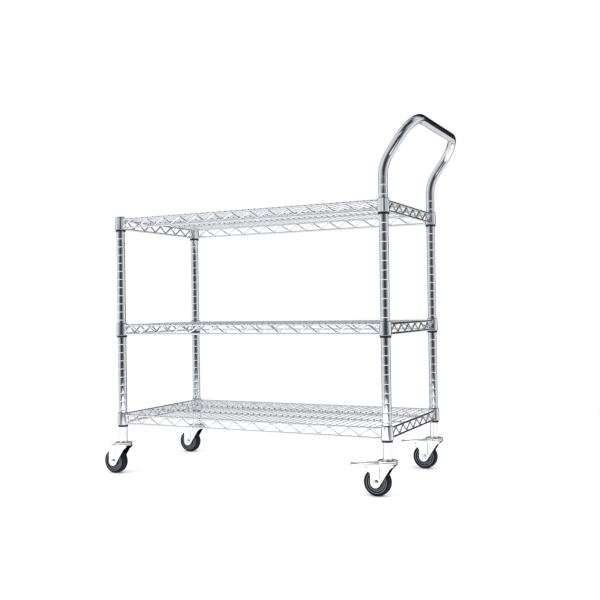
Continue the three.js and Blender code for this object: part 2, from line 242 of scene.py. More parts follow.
# ---- from skins to objects ----
def to_object(name, skin, shift=(0, 0)):
    """One mesh object in metres, moved by shift in X and Y, with its faces turned outwards."""
    mesh = bpy.data.meshes.new(name)
    moved = [((p[0] + shift[0]) * MM, (p[1] + shift[1]) * MM, p[2] * MM) for p in skin.points]
    mesh.from_pydata(moved, [], skin.faces)
    shell = bmesh.new()
    shell.from_mesh(mesh)
    bmesh.ops.remove_doubles(shell, verts=shell.verts, dist=1e-7)
    bmesh.ops.dissolve_degenerate(shell, edges=shell.edges, dist=1e-8)
    bmesh.ops.recalc_face_normals(shell, faces=shell.faces)
    shell.to_mesh(mesh)
    shell.free()
    piece = bpy.data.objects.new(name, mesh)
    bpy.context.scene.collection.objects.link(piece)
    return piece


def apply_modifiers(piece):
    bpy.context.view_layer.update()
    depsgraph = bpy.context.evaluated_depsgraph_get()
    mesh = bpy.data.meshes.new_from_object(piece.evaluated_get(depsgraph))
    piece.modifiers.clear()
    piece.data = mesh


def combine(base, tool, operation):
    """Joins, cuts or intersects base with tool, and removes tool."""
    modifier = base.modifiers.new("combine", "BOOLEAN")
    modifier.operation = operation
    modifier.object = tool
    modifier.solver = "EXACT"
    apply_modifiers(base)
    bpy.data.objects.remove(tool)


def round_edges(piece, width, segments=2, angle=32):
    modifier = piece.modifiers.new("round", "BEVEL")
    modifier.width = width * MM
    modifier.segments = segments
    modifier.limit_method = "ANGLE"
    modifier.angle_limit = math.radians(angle)
    modifier.use_clamp_overlap = True
    apply_modifiers(piece)


def mark(piece, name, chosen, strength=1.0):
    """Stores strength at the points that chosen(point in mm) picks, and 0 at the rest."""
    attribute = piece.data.attributes.new(name, "FLOAT", "POINT")
    for vertex in piece.data.vertices:
        attribute.data[vertex.index].value = strength if chosen(vertex.co / MM) else 0.0


def finish_piece(piece, body, slot, material, *nodes):
    """Shades a piece, gives it its material and hangs it on its CAD body."""
    piece.data.shade_smooth()
    piece.data.set_sharp_from_angle(angle=SMOOTH_ANGLE)
    normals = piece.modifiers.new("normals", "WEIGHTED_NORMAL")
    normals.keep_sharp = True
    apply_modifiers(piece)
    piece.data.materials.clear()
    piece.data.materials.append(material)
    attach(piece, body)
    if nodes:
        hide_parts(*nodes)
    return piece


# ---- materials ----
class Shader:
    """A node material under construction."""

    def __init__(self, name):
        self.material = bpy.data.materials.new(name)
        self.material.use_nodes = True
        self.tree = self.material.node_tree
        self.surface = self.tree.nodes["Principled BSDF"]
        self.place = self.node("ShaderNodeTexCoord").outputs["Object"]

    def node(self, kind, **settings):
        node = self.tree.nodes.new(kind)
        for key, value in settings.items():
            setattr(node, key, value)
        return node

    def join(self, source, target):
        self.tree.links.new(source, target)

    def noise(self, scale, detail=2.0, roughness=0.5, stretch=(1, 1, 1)):
        mapping = self.node("ShaderNodeMapping")
        mapping.inputs["Scale"].default_value = stretch
        self.join(self.place, mapping.inputs["Vector"])
        noise = self.node("ShaderNodeTexNoise")
        noise.inputs["Scale"].default_value = scale
        noise.inputs["Detail"].default_value = detail
        noise.inputs["Roughness"].default_value = roughness
        self.join(mapping.outputs["Vector"], noise.inputs["Vector"])
        return noise.outputs["Fac"]

    def mirrored_behind(self, towards):
        """1 for what metal mirrors in the part of the floor beyond it, 0 for all the rest."""
        back = self.node("ShaderNodeVectorMath", operation="DOT_PRODUCT")
        self.join(self.node("ShaderNodeNewGeometry").outputs["Incoming"], back.inputs[0])
        back.inputs[1].default_value = towards
        beyond = self.ranged(back.outputs["Value"], 0.45, 0.75, 0, 1)
        mirrored = self.node("ShaderNodeLightPath").outputs["Is Glossy Ray"]
        return self.combined(beyond, mirrored, "MULTIPLY")

    def attribute(self, name):
        """0 where a piece has no mark of this name."""
        node = self.node("ShaderNodeAttribute")
        node.attribute_name = name
        return node.outputs["Fac"]

    def cells(self, scale):
        voronoi = self.node("ShaderNodeTexVoronoi")
        voronoi.inputs["Scale"].default_value = scale
        self.join(self.place, voronoi.inputs["Vector"])
        return voronoi

    def ranged(self, source, low_in, high_in, low_out, high_out):
        ranged = self.node("ShaderNodeMapRange")
        values = (low_in, high_in, low_out, high_out)
        for key, value in zip(("From Min", "From Max", "To Min", "To Max"), values):
            ranged.inputs[key].default_value = value
        self.join(source, ranged.inputs["Value"])
        return ranged.outputs["Result"]

    def mixed(self, factor, first, second):
        """A colour between first and second; each is a colour or a socket."""
        mix = self.node("ShaderNodeMix", data_type="RGBA")
        self.join(factor, mix.inputs["Factor"])
        for value, socket in ((first, mix.inputs[6]), (second, mix.inputs[7])):
            if isinstance(value, tuple):
                socket.default_value = (*value, 1)
            else:
                self.join(value, socket)
        return mix.outputs[2]

    def combined(self, first, second, operation="ADD"):
        math_node = self.node("ShaderNodeMath", operation=operation, use_clamp=True)
        self.join(first, math_node.inputs[0])
        self.join(second, math_node.inputs[1])
        return math_node.outputs["Value"]

    def bump(self, height, strength, distance_mm):
        bump = self.node("ShaderNodeBump")
        bump.inputs["Strength"].default_value = strength
        bump.inputs["Distance"].default_value = distance_mm * MM
        self.join(height, bump.inputs["Height"])
        self.join(bump.outputs["Normal"], self.surface.inputs["Normal"])

    def done(self, color, roughness, metallic=0.0):
        self.join(color, self.surface.inputs["Base Color"])
        self.join(roughness, self.surface.inputs["Roughness"])
        self.surface.inputs["Metallic"].default_value = metallic
        return self.material


def chrome_material():
    """Bright chrome plate: faint smears, fine polishing and a few dull pits, and painted shade
    where a piece carries the shade mark.
    """
    shader = Shader("chrome_plate")
    smear = shader.noise(14, detail=4, roughness=0.6)
    tint = shader.mixed(smear, (0.83, 0.85, 0.88), (0.74, 0.76, 0.79))
    pits = shader.ranged(shader.cells(260).outputs["Distance"], 0.05, 0.11, 1, 0)
    rare = shader.ranged(shader.noise(33), 0.6, 0.64, 0, 1)
    dull = shader.combined(pits, rare, "MULTIPLY")
    color = shader.mixed(dull, tint, (0.42, 0.41, 0.39))
    # painted shade: where a piece is marked 'shade', the chrome colour turns near black in place of
    # dark reflections
    color = shader.mixed(shader.attribute("shade"), color, (0.03, 0.03, 0.035))
    gloss = shader.ranged(smear, 0.3, 0.7, 0.05, 0.12)
    rough = shader.combined(gloss, shader.ranged(dull, 0, 1, 0, 0.35))
    shader.bump(shader.noise(900, detail=3), 0.06, 0.05)
    return shader.done(color, rough, 1.0)


def deck_wire_material():
    """Softer plate on the thin deck wires, with drawing marks and a near-black painted contact
    shadow at the welds and cut ends.
    """
    shader = Shader("frosted_plate")
    cloud = shader.noise(22, detail=4, roughness=0.6)
    tint = shader.mixed(cloud, (0.88, 0.90, 0.93), (0.78, 0.80, 0.84))
    drawn = shader.noise(240, detail=3, stretch=(1, 0.05, 1))
    color = shader.mixed(shader.ranged(drawn, 0.5, 0.8, 0, 0.35), tint, (0.62, 0.64, 0.67))
    # painted contact shadow: the weld mark turns the wires near black where they sit on the bars
    # and end in the rails
    color = shader.mixed(shader.attribute("weld"), color, (0.04, 0.042, 0.045))
    rough = shader.ranged(drawn, 0.3, 0.7, 0.22, 0.34)
    shader.bump(drawn, 0.1, 0.04)
    return shader.done(color, rough, 0.62)


def zinc_material():
    """Bright zinc on pressed steel: a faint spangle, blue and straw casts, duller patches, and
    painted shade where a piece carries the shade mark.
    """
    shader = Shader("bright_zinc")
    spangle = shader.cells(180).outputs["Color"]
    split = shader.node("ShaderNodeSeparateColor")
    shader.join(spangle, split.inputs["Color"])
    cast = shader.noise(40, detail=3)
    cool = shader.mixed(cast, (0.86, 0.90, 0.90), (0.90, 0.89, 0.85))
    grains = shader.ranged(split.outputs["Red"], 0, 1, 0, 0.22)
    color = shader.mixed(grains, cool, (0.70, 0.76, 0.78))
    # painted shade: where a piece is marked 'shade', the zinc colour turns near black
    color = shader.mixed(shader.attribute("shade"), color, (0.012, 0.012, 0.014))
    rough = shader.combined(
        shader.ranged(shader.noise(70, detail=5), 0.3, 0.7, 0.10, 0.2),
        shader.ranged(split.outputs["Green"], 0, 1, 0, 0.04),
    )
    shader.bump(shader.noise(1400, detail=4), 0.18, 0.05)
    return shader.done(color, rough, 1.0)


def black_plastic_material():
    """Black moulded sleeves with a soft sheen, fine texture and scuffed patches."""
    shader = Shader("black_moulded_plastic")
    scuff = shader.ranged(shader.noise(120, detail=6, roughness=0.7), 0.52, 0.72, 0, 1)
    color = shader.mixed(scuff, (0.007, 0.007, 0.008), (0.03, 0.03, 0.032))
    rough = shader.ranged(scuff, 0, 1, 0.36, 0.6)
    shader.bump(shader.noise(1600, detail=2), 0.25, 0.08)
    return shader.done(color, rough)


def grey_plastic_material():
    """Grey moulded wheel centres, a little dusty in a random cloud, and a painted highlight on the
    marked moulded rings.
    """
    shader = Shader("grey_moulded_plastic")
    cloud = shader.noise(60, detail=4)
    shader.surface.inputs["Specular IOR Level"].default_value = 0.3
    color = shader.mixed(cloud, (0.010, 0.013, 0.022), (0.022, 0.027, 0.038))
    # painted highlight: the marked moulded rings are lightened as if they caught the light
    color = shader.mixed(shader.attribute("ring"), color, (0.30, 0.32, 0.36))
    rough = shader.ranged(shader.noise(200, detail=5), 0.3, 0.7, 0.38, 0.6)
    shader.bump(shader.noise(1500, detail=2), 0.2, 0.08)
    return shader.done(color, rough)


def tyre_material():
    """Charcoal rubber with pale dust, a matt tread and fine mould grain, and a painted highlight on
    the marked moulded ring.
    """
    shader = Shader("tyre_rubber")
    dust = shader.ranged(shader.noise(90, detail=6, roughness=0.65), 0.5, 0.8, 0, 0.6)
    color = shader.mixed(dust, (0.004, 0.006, 0.012), (0.018, 0.022, 0.032))
    shader.surface.inputs["Specular IOR Level"].default_value = 0.2
    # painted highlight: the marked ring on each side wall is lightened as if it caught the light
    color = shader.mixed(shader.attribute("ring"), color, (0.26, 0.28, 0.32))
    rough = shader.ranged(shader.noise(260, detail=4), 0.3, 0.7, 0.5, 0.8)
    shader.bump(shader.noise(1100, detail=3), 0.35, 0.12)
    return shader.done(color, rough)


MATERIALS = {
    "chrome": chrome_material(),
    "deck_wire": deck_wire_material(),
    "zinc": zinc_material(),
    "black_plastic": black_plastic_material(),
    "grey_plastic": grey_plastic_material(),
    "tyre": tyre_material(),
}


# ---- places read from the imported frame, mm ----
def centre_xy(node):
    low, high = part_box(node)
    return ((low.x + high.x) / 2 / MM, (low.y + high.y) / 2 / MM)


def corner_place(corner):
    return centre_xy(f"{corner}_caster_stem")


def shelf_base(level):
    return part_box(f"{level}_toe_front_sleeve_a")[0].z / MM


TOE_X, FRONT_Y = corner_place("toe_front")
HANDLE_X, REAR_Y = corner_place("handle_rear")
MID_X = (TOE_X + HANDLE_X) / 2
POST_Y = (REAR_Y - FRONT_Y) / 2
POST_LOW_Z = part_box("toe_front_post")[0].z / MM
POST_TOP_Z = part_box("toe_front_post")[1].z / MM
POST_RADIUS = (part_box("toe_front_post")[1].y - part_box("toe_front_post")[0].y) / 2 / MM
POST_BORE = POST_RADIUS - POST_WALL


def post_distance(point, place):
    """Distance in plan from a caster's swivel axis."""
    return math.hypot(point.x - place[0], point.y - place[1])


def axle_distance(point, place):
    """Distance in side view from a caster's axle."""
    return math.hypot(point.x - place[0] - WHEEL_X, point.z - WHEEL_Z)


# ---- posts and handle frame ----
def grooved_run(count, top):
    """(z, depth) pairs up a post: a smooth rolled groove at every pitch."""
    run = [(POST_LOW_Z, 0.7), (POST_LOW_Z + 0.7, 0)]
    for i in range(count):
        centre = GROOVE_FIRST_Z + i * GROOVE_PITCH
        for step in range(-GROOVE_STEPS // 2, GROOVE_STEPS // 2 + 1):
            across = 2 * step / GROOVE_STEPS
            depth = GROOVE_DEPTH * (1 + math.cos(math.pi * across)) / 2
            run.append((centre + across * GROOVE_HALF_HEIGHT, depth))
    run.append((top, 0))
    return run


def toe_post(corner):
    x, y = corner_place(corner)
    outside = [(POST_RADIUS - depth, z) for z, depth in grooved_run(TOE_GROOVES, POST_TOP_Z)]
    inside = [(POST_BORE, POST_TOP_Z), (POST_BORE, POST_LOW_Z)]
    skin = Skin()
    skin.revolve(outside + inside, about_z(x, y), POST_SIDES)
    node = f"{corner}_post"
    finish_piece(to_object(f"{node}_tube", skin), "cart", "chrome", MATERIALS["chrome"], node)


def post_cap(corner):
    """A pressed dome that closes the top of a post, with a plug below it."""
    x, y = corner_place(corner)
    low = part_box(f"{corner}_post_cap")[0].z / MM
    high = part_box(f"{corner}_post_cap")[1].z / MM
    seat = POST_TOP_Z + 0.2
    dome = arc_points(POST_RADIUS - 3, seat + 0.6, 3, 0, 78, 6)
    profile = [(0, low), (POST_BORE - 0.4, low), (POST_BORE - 0.4, seat), (POST_RADIUS, seat)]
    profile += [(radius, min(z, high - 0.2)) for radius, z in dome]
    profile += [(5, high - 0.05), (0, high)]
    skin = Skin()
    skin.revolve(profile, about_z(x, y), POST_SIDES)
    node = f"{corner}_post_cap"
    finish_piece(to_object(f"{node}_dome", skin), "cart", "chrome", MATERIALS["chrome"], node)


def bend(start, along, to, radius, steps):
    """Points on a bend that turns the direction along into to, after its first point."""
    angle = along.angle(to)
    inward = (to - along * to.dot(along)).normalized()
    points = []
    for i in range(1, steps + 1):
        turn = angle * i / steps
        forward = along * (radius * math.sin(turn))
        sideways = inward * (radius * (1 - math.cos(turn)))
        points.append(start + forward + sideways)
    return points


def handle_bow():
    """The centre line above the front leg, up the slant and round to the middle of the bar."""
    up = Vector((0, 0, 1))
    slant = Vector((math.sin(HANDLE_TILT), 0, math.cos(HANDLE_TILT)))
    across = Vector((0, 1, 0))
    start = Vector((HANDLE_X, FRONT_Y, HANDLE_BEND_Z))
    reach = HANDLE_LOWER_RADIUS * math.tan(HANDLE_TILT / 2)
    corner = start + up * reach + slant * (reach + HANDLE_SLANT)
    lower = bend(start, up, slant, HANDLE_LOWER_RADIUS, 14)
    corner_start = corner - slant * HANDLE_CORNER_RADIUS
    upper = bend(corner_start, slant, across, HANDLE_CORNER_RADIUS, 24)
    return [*lower, corner_start, *upper]


def handle_frame():
    leg = grooved_run(HANDLE_GROOVES, HANDLE_BEND_Z)
    bow = handle_bow()
    front = [Vector((HANDLE_X, FRONT_Y, z)) for z, _ in leg] + bow
    depths = [depth for _, depth in leg] + [0] * len(bow)
    path = front + [Vector((p.x, -p.y, p.z)) for p in reversed(front)]
    outside = [POST_RADIUS - depth for depth in depths + depths[::-1]]
    inner_front = [Vector((HANDLE_X, FRONT_Y, POST_LOW_Z))] + bow
    inner = inner_front + [Vector((p.x, -p.y, p.z)) for p in reversed(inner_front)]
    rings = sweep_rings(path, outside, POST_SIDES)
    rings += sweep_rings(inner, [POST_BORE] * len(inner), POST_SIDES)[::-1]
    skin = Skin()
    skin.rings(rings, loop=True)
    piece = to_object("handle_frame_tube", skin)
    finish_piece(piece, "cart", "chrome", MATERIALS["chrome"], "handle_frame")


# ---- shelves ----
def rounded_zigzag(start, step, panels, low, high, bend_length=5.0):
    """(run, height) pairs of a zigzag rod whose peaks are bent round, not folded."""
    peaks = [(start + i * step, high if i % 2 else low) for i in range(panels + 1)]
    points = [peaks[0]]
    for before, peak, after in zip(peaks, peaks[1:], peaks[2:]):
        towards = Vector(before) - Vector(peak)
        away = Vector(after) - Vector(peak)
        entry = Vector(peak) + towards.normalized() * bend_length
        leave = Vector(peak) + away.normalized() * bend_length
        points.append(tuple(entry))
        points += curve_points(tuple(entry), peak, tuple(leave), 4)
    points.append(peaks[-1])
    return points


def rail_path(half, offset, height, place):
    """A rail whose ends lean in to the collars."""
    runs = [(half - 13.6, 5.0), (half - 17, 6.0), (half - 23, 7.3), (half - 32, offset)]
    ends = [place(run, out, height) for run, out in runs]
    starts = [place(-run, out, height) for run, out in runs]
    return starts + ends[::-1]


def truss(skin, half, panels, base, place):
    """Two rails and a zigzag rod; place(run, out, height) gives a point of this side's plane."""
    weld = [RAIL_RADIUS + 0.7, RAIL_RADIUS + 0.3, RAIL_RADIUS, RAIL_RADIUS]
    for height in (RAIL_LOW, RAIL_HIGH):
        path = rail_path(half, TRUSS_OFFSET, base + height, place)
        skin.sweep(path, weld + weld[::-1], 12)
    length = 2 * (half - COLLAR_RADIUS)
    lift = RAIL_RADIUS - 0.2
    zigzag = rounded_zigzag(
        -length / 2, length / panels, panels, base + RAIL_LOW + lift, base + RAIL_HIGH - lift
    )
    path = [place(run, TRUSS_OFFSET, height) for run, height in zigzag]
    skin.sweep(path, [ZIGZAG_RADIUS] * len(path), 8)


def shelf_trusses(level, base):
    """The trusses of all four sides and the two bars that hold up the deck wires."""
    half_x = (HANDLE_X - TOE_X) / 2
    skin = Skin()
    for side in (-1, 1):
        truss(skin, half_x, LONG_PANELS, base, lambda run, out, height: (
            MID_X + run, side * (POST_Y + out), height))
        truss(skin, POST_Y, SHORT_PANELS, base, lambda run, out, height: (
            MID_X + side * (half_x + out), run, height))
    for y in SUPPORT_Y:
        z = base + DECK_Z - DECK_WIRE_RADIUS - SUPPORT_RADIUS + 0.2
        ends = [(MID_X + side * (half_x + TRUSS_OFFSET), y, z) for side in (-1, 1)]
        skin.sweep(ends, [SUPPORT_RADIUS] * 2, 10)
    piece = to_object(f"{level}_shelf_trusses", skin)
    rods = (base + RAIL_LOW + RAIL_RADIUS + 0.1, base + RAIL_HIGH - RAIL_RADIUS - 0.1)
    # painted shade: the zigzag rods of the two short sides are darkened to stand in for the dark
    # reflections they show
    mark(piece, "shade", lambda p: abs(p.x - MID_X) > half_x + 5 and rods[0] < p.z < rods[1], 0.65)
    finish_piece(piece, "cart", "chrome", MATERIALS["chrome"], f"{level}_shelf")


def shelf_deck(level, base):
    """The deck wires, marked for painted contact shadow where they are welded to the bars and at
    their cut ends.
    """
    half_x = (HANDLE_X - TOE_X) / 2 + TRUSS_OFFSET
    pitch = 2 * half_x / (DECK_WIRES + 1)
    reach = POST_Y + TRUSS_OFFSET + WIRE_END
    shadow_spans = [(y - WELD_HALF, y + WELD_HALF) for y in SUPPORT_Y]
    shadow_spans += [(-reach, -reach + CUT_END), (reach - CUT_END, reach)]
    stops = {y + step for burn in shadow_spans for y in burn for step in (-SHADOW_FADE, 0, SHADOW_FADE)}
    runs = sorted(y for y in stops if abs(y) <= reach)
    skin = Skin()
    for i in range(1, DECK_WIRES + 1):
        x = MID_X - half_x + i * pitch
        skin.sweep([(x, y, base + DECK_Z) for y in runs], [DECK_WIRE_RADIUS] * len(runs), 8)
    piece = to_object(f"{level}_shelf_deck", skin)
    # painted contact shadow on the wires over the two bars and at the rails they end in
    mark(piece, "weld", lambda p: any(low - 0.1 < p.y < high + 0.1 for low, high in shadow_spans))
    finish_piece(piece, "cart", "chrome", MATERIALS["deck_wire"])


def collar_outline(base):
    """The collar's section: a tapered bore, a plain wall and rolled lips at both ends."""
    low = base + COLLAR_LOW
    high = base + COLLAR_HIGH
    lip_low = arc_points(COLLAR_RADIUS - 0.7, low + 0.7, 0.7, -90, 10, 5)
    lip_high = arc_points(COLLAR_RADIUS - 1.7, high - 0.6, 0.6, 5, 100, 5)
    wall = [(COLLAR_RADIUS - 0.05, low + 2.0), (COLLAR_RADIUS - 1.05, high - 1.4)]
    return [(BORE_LOW, low + 0.3), *lip_low, *wall, *lip_high, (BORE_HIGH, high - 0.2)]


def shelf_collars(level, base):
    skin = Skin()
    for corner in CORNERS:
        x, y = corner_place(corner)
        skin.revolve(collar_outline(base), about_z(x, y), POST_SIDES)
    piece = to_object(f"{level}_shelf_collars", skin)
    finish_piece(piece, "cart", "chrome", MATERIALS["chrome"])


def sleeve_outline(base):
    """Half of the section of a tapered sleeve: a foot lip below."""
    taper = (BORE_LOW - BORE_HIGH) / (COLLAR_HIGH - COLLAR_LOW)
    foot = BORE_LOW - SLEEVE_CLEARANCE + COLLAR_LOW * taper
    head = foot - SLEEVE_HEIGHT * taper
    return [
        (SLEEVE_INNER, base + 0.3),
        (SLEEVE_INNER + 0.3, base),
        (foot - 0.5, base),
        (foot, base + 0.5),
        (foot - 0.1, base + 6.0),
        (foot - 0.35, base + 6.3),
        (head, base + SLEEVE_HEIGHT - 0.6),
        (head - 0.5, base + SLEEVE_HEIGHT),
        (SLEEVE_INNER + 0.2, base + SLEEVE_HEIGHT),
        (SLEEVE_INNER, base + SLEEVE_HEIGHT - 0.4),
    ]


def sleeve_half(level, corner, letter, facing, base):
    x, y = corner_place(corner)
    slack = SLEEVE_GAP / 2 / SLEEVE_INNER
    skin = Skin()
    arc = (facing - math.pi / 2 + slack, facing + math.pi / 2 - slack)
    skin.revolve(sleeve_outline(base), about_z(x, y), 24, arc)
    node = f"{level}_{corner}_sleeve_{letter}"
    piece = to_object(f"{node}_moulding", skin)
    finish_piece(piece, "cart", "black_plastic", MATERIALS["black_plastic"], node)


def shelf(level):
    base = shelf_base(level)
    shelf_trusses(level, base)
    shelf_deck(level, base)
    shelf_collars(level, base)
    for corner in CORNERS:
        sleeve_half(level, corner, "a", math.pi, base)
        sleeve_half(level, corner, "b", 0, base)


# ---- casters ----
def caster_stem(corner, place):
    """The plug in the post foot, the dished top plate and the rivet under the crown."""
    profile = [
        (0, 81), (7.6, 81), (8.5, 81.9), (8.5, 83.4), (8.0, 84), (5, 84.4), (5, 93.4),
        (20, 93.6), (27.2, 93.8), (28.0, 94.6), (28.0, 96.6), (27.2, 97.4), (25.6, 97.3),
        (24.4, 96.4), (19.0, 96.0), (14.6, 96.6), (13.2, 97.8), (12.7, 99.2), (12.7, 100.8),
        (12.2, 101.3), (10.4, 101.4), (10.4, 123.5), (9.8, 124), (0, 124),
    ]
    skin = Skin()
    skin.revolve(profile, about_z(0, 0), POST_SIDES)
    node = f"{corner}_caster_stem"
    piece = to_object(f"{node}_steel", skin, place)
    # painted shade: the hollow of the dished plate and the gap under its rim are darkened
    mark(piece, "shade", lambda p: (
        (93 < p.z < 94 or 96 < p.z < 97) and 13.5 < post_distance(p, place) < 27.5
    ), 0.6)
    finish_piece(piece, "cart", "zinc", MATERIALS["zinc"], node)


def fork_channel():
    """A bent channel, crown up, long enough to be trimmed to the fork."""
    outer = [(CHEEK_OUTER, 20), *arc_points(CHEEK_OUTER - 4.2, CROWN_TOP - 4.2, 4.2, 0, 90, 6)]
    inner = arc_points(CHEEK_OUTER - 4.2, CROWN_TOP - 4.4, 2.2, 90, 0, 4) + [(CHEEK_INNER, 20)]
    section = outer + [(-y, z) for y, z in reversed(outer)]
    section += [(-y, z) for y, z in reversed(inner)] + inner
    skin = Skin()
    skin.prism(section, -80, 40, yz_plane)
    return to_object("fork_channel", skin)


def cheek_outline(braked):
    """The fork seen from the side: raked leading edge, round foot, straight or winged back."""
    foot = arc_points(WHEEL_X - 1, WHEEL_Z, 14, 180, 327, 18)
    lead = curve_points((9, 72), (13.2, 78.5), (27, 86.4), 12)
    front = [(9, 72), *lead, (28.5, 87.2), (28.5, 94)]
    if not braked:
        return [*foot, *front, (-30, 94), (-36, 90.2), (-43, 86), (-44, 80)]
    wing = [(-70, 94), (-71.5, 77), (-70.5, 70.5), (-67, 67.2), (-61, 66.4), (-57, 68.4)]
    wing += [(-52, 67.6), (-47, 64.2), (-44, 59)]
    return [*foot, *front, *wing]


def crown_outline():
    """The fork seen from above: a round nose, then straight sides back to the tail."""
    nose = arc_points(4, 0, 24.5, -52, 52, 14)
    return [*nose, (14, 19), (-75, 19), (-75, -19), (14, -19)]


def trim(piece, outline, low, high, plane, operation):
    """Intersects a piece with an outline pushed from low to high, or cuts that out of it."""
    tool = Skin()
    tool.prism(outline, low, high, plane)
    combine(piece, to_object("trim", tool), operation)


def bore(piece, radius, reach, plane, shift=(0, 0), sides=20):
    """Cuts a round hole from -reach to reach about the axis that plane turns round."""
    tool = Skin()
    tool.revolve([(0, -reach), (radius, -reach), (radius, reach), (0, reach)], plane, sides)
    combine(piece, to_object("bore", tool, shift), "DIFFERENCE")


def pressed_fork(braked):
    """The channel trimmed to its outlines, then pierced, notched and creased."""
    piece = fork_channel()
    trim(piece, cheek_outline(braked), -30, 30, xz_plane, "INTERSECT")
    trim(piece, crown_outline(), 10, 100, xy_plane, "INTERSECT")
    bore(piece, KING_HOLE_RADIUS, 99, about_z(0, 0), sides=24)
    bore(piece, AXLE_RADIUS + 0.3, 25, about_y(WHEEL_X, WHEEL_Z))
    if braked:
        bore(piece, BRAKE_PIN_RADIUS + 0.3, 25, about_y(BRAKE_X, BRAKE_Z))
        notch = [(-80, 84.5), (-62, 84.5), (-33, 87.0), (-33, 95), (-80, 95)]
        trim(piece, notch, -30, 30, xz_plane, "DIFFERENCE")
    for face in (-CHEEK_OUTER, CHEEK_OUTER):
        diamond = [
            (CREASE_X - CREASE_SIZE, face),
            (CREASE_X, face - CREASE_SIZE),
            (CREASE_X + CREASE_SIZE, face),
            (CREASE_X, face + CREASE_SIZE),
        ]
        trim(piece, diamond, *CREASE_SPAN, xy_plane, "DIFFERENCE")
    round_edges(piece, 0.45)
    # painted shade on the inner faces of the cheeks and under the crown, where the fork is in
    # shadow
    mark(piece, "shade", lambda p: abs(p.y) < CHEEK_OUTER - 0.8 and p.z < CROWN_TOP - 2)
    return piece


def ball_race(corner, place):
    """The pressed ring between the crown and the top plate."""
    dish = [
        (5.8, 88.0), (22.6, 87.6), (25.2, 88.4), (26.2, 89.8), (26.2, 91.8),
        (25.4, 92.7), (23.4, 92.9), (22.0, 92.3), (5.8, 92.3),
    ]
    race = Skin()
    race.revolve(dish, about_z(0, 0), POST_SIDES)
    ring = to_object(f"{corner}_ball_race", race, place)
    finish_piece(ring, f"{corner}_swivel", "zinc", MATERIALS["zinc"])


def fork(corner, place, braked):
    piece = pressed_fork(braked)
    piece.name = f"{corner}_fork_pressing"
    piece.data.transform(Matrix.Translation((place[0] * MM, place[1] * MM, 0)))
    finish_piece(piece, f"{corner}_swivel", "zinc", MATERIALS["zinc"], f"{corner}_fork")
    ball_race(corner, place)


def hexagon(radius, x, z, turn):
    return [
        (x + radius * math.cos(turn + TAU * i / 6), z + radius * math.sin(turn + TAU * i / 6))
        for i in range(6)
    ]


def axle(corner, place, side):
    """A domed bolt on the outward side and a plain hexagon nut on the other."""
    face = CHEEK_OUTER + 0.2
    bolt = [
        (0, face + 4), (3, face + 3.9), (5.6, face + 3.2), (7.6, face + 2.0), (8.7, face + 1.2),
        (9, face + 0.8), (9, face), (AXLE_RADIUS, face), (AXLE_RADIUS, -face - 6.4),
        (AXLE_RADIUS - 0.6, -face - 7), (0, -face - 7),
    ]
    body = f"{corner}_swivel"
    skin = Skin()
    skin.revolve([(radius, side * y) for radius, y in bolt], about_y(WHEEL_X, WHEEL_Z), 32)
    piece = to_object(f"{corner}_axle_bolt_turned", skin, place)
    finish_piece(piece, body, "zinc", MATERIALS["zinc"], f"{corner}_axle_bolt")
    nut_skin = Skin()
    low, high = sorted((-side * (face + 0.1), -side * (face + 5.8)))
    nut_skin.prism(hexagon(7.9, WHEEL_X, WHEEL_Z, 0.3), low, high, xz_plane)
    nut = to_object(f"{corner}_axle_nut_hexagon", nut_skin, place)
    bore(nut, AXLE_RADIUS + 0.2, 40, about_y(WHEEL_X, WHEEL_Z), place, 24)
    round_edges(nut, 0.5)
    finish_piece(nut, body, "zinc", MATERIALS["zinc"], f"{corner}_axle_nut")


def mirrored(half):
    """A closed (radius, y) section from its half with y above 0, outermost point first."""
    return [*half, *[(radius, -y) for radius, y in reversed(half)]]


def wheel_hub(corner, place):
    """The grey centre: a boss, a dished web and a stepped rim with two moulded rings."""
    half = [
        (24.3, 9.8), (24.0, 10.4), (23.2, 10.6), (22.6, 10.6), (21.9, 9.6), (20.6, 8.6),
        (19.4, 8.6), (18.8, 9.4), (18.3, 9.5), (17.6, 8.8), (16, 8.4), (14, 9.0), (12.4, 10.6),
        (9.2, 13.6), (8.6, 14.6), (8.0, 14.8), (5.0, 14.8), (4.5, 14.3),
    ]
    skin = Skin()
    skin.revolve(mirrored(half), about_y(WHEEL_X, WHEEL_Z), 64)
    piece = to_object(f"{corner}_wheel_centre", skin, place)
    # painted highlight on the tops of the two moulded rings
    mark(piece, "ring", lambda p: any(abs(axle_distance(p, place) - r) < 0.5 for r in HUB_RINGS))
    body = f"{corner}_wheel"
    finish_piece(piece, body, "grey_plastic", MATERIALS["grey_plastic"], f"{corner}_wheel_hub")


def tyre(corner, place):
    """A rounded tread, a moulded ring on each side wall and a bead against the hub."""
    half = [
        (37.5, 0), (37.5, 5.6), (37.2, 8.4), (36.3, 10.6), (34.8, 12.2), (33.2, 12.9),
        (31.0, 13.0), (30.2, 12.4), (29.4, 12.3), (28.9, 12.9), (28.2, 13.0), (27.6, 12.5),
        (26.8, 12.2), (26.3, 12.7), (25.4, 12.6), (25.0, 11.6),
    ]
    skin = Skin()
    skin.revolve(mirrored(half), about_y(WHEEL_X, WHEEL_Z), 96)
    piece = to_object(f"{corner}_tyre_rubber", skin, place)
    # painted highlight along the moulded ring of each side wall
    mark(piece, "ring", lambda p: abs(axle_distance(p, place) - TYRE_RING) < 0.5)
    finish_piece(piece, f"{corner}_wheel", "tyre", MATERIALS["tyre"], f"{corner}_tyre")


